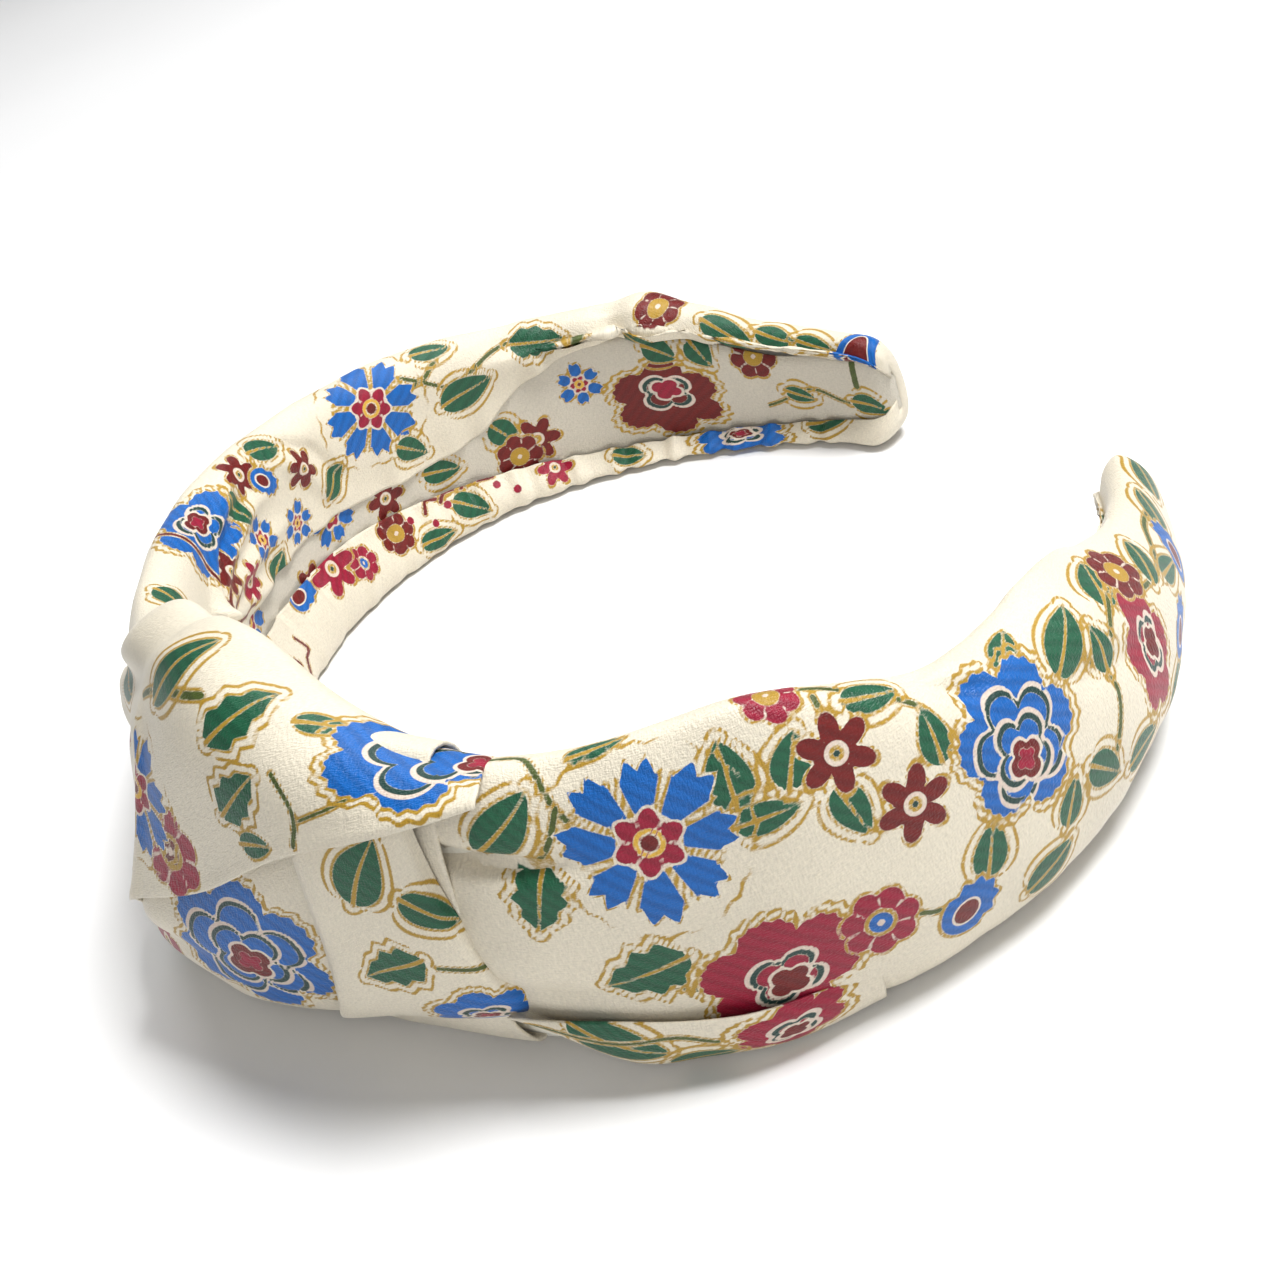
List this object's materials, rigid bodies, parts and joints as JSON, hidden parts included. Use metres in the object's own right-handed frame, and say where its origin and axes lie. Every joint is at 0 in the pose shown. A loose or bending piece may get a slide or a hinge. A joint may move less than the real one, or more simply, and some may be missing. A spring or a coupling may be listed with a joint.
{
  "type": "knotted headband",
  "caption": "Wide knotted headband: a springy plastic strip padded with foam and covered in gathered floral-print satin, with a soft knot at the crown and open rounded tips.",
  "frame": {"origin": "centre of the bounding box in X and Y, on the plane that the lower edge lies on", "axes": "+Z across the band's width, up from the surface it lies on; +X across the head towards the right arm; +Y from the knot at the crown towards the open tips"},
  "size_m": [0.1564, 0.1348, 0.0519],
  "materials": {
    "cover_satin": "ivory satin with a floral print in blue, crimson, maroon and green with fine gold outlines",
    "lining_satin": "the same printed satin, laid flat",
    "core_plastic": "moulded off-white plastic strip",
    "foam": "open-cell foam sheet"
  },
  "bodies": {
    "crown": {"core_strip_crown": "core_plastic", "foam_pad_crown": "foam", "lining_crown": "lining_satin", "left_gathered_end": "cover_satin", "right_gathered_end": "cover_satin", "knot_wrap": "cover_satin", "knot_upper_strap": "cover_satin", "knot_lower_loop": "cover_satin", "knot_middle_strap": "cover_satin"},
    "left_arm": {"core_strip_left_arm": "core_plastic", "foam_pad_left_arm": "foam", "lining_left_arm": "lining_satin", "left_sleeve": "cover_satin"},
    "right_arm": {"core_strip_right_arm": "core_plastic", "foam_pad_right_arm": "foam", "lining_right_arm": "lining_satin", "right_sleeve": "cover_satin"}
  },
  "joints": [
    {"name": "left_arm_flex", "type": "hinge", "parent": "crown", "child": "left_arm", "pos_m": [-0.06778, -0.02709, 0.018], "axis": [0, 0, 1], "range_deg": [0, 12], "stiffness_Nm_per_rad": 0.75},
    {"name": "right_arm_flex", "type": "hinge", "parent": "crown", "child": "right_arm", "pos_m": [0.06778, -0.02709, 0.018], "axis": [0, 0, -1], "range_deg": [0, 12], "stiffness_Nm_per_rad": 0.75}
  ]
}
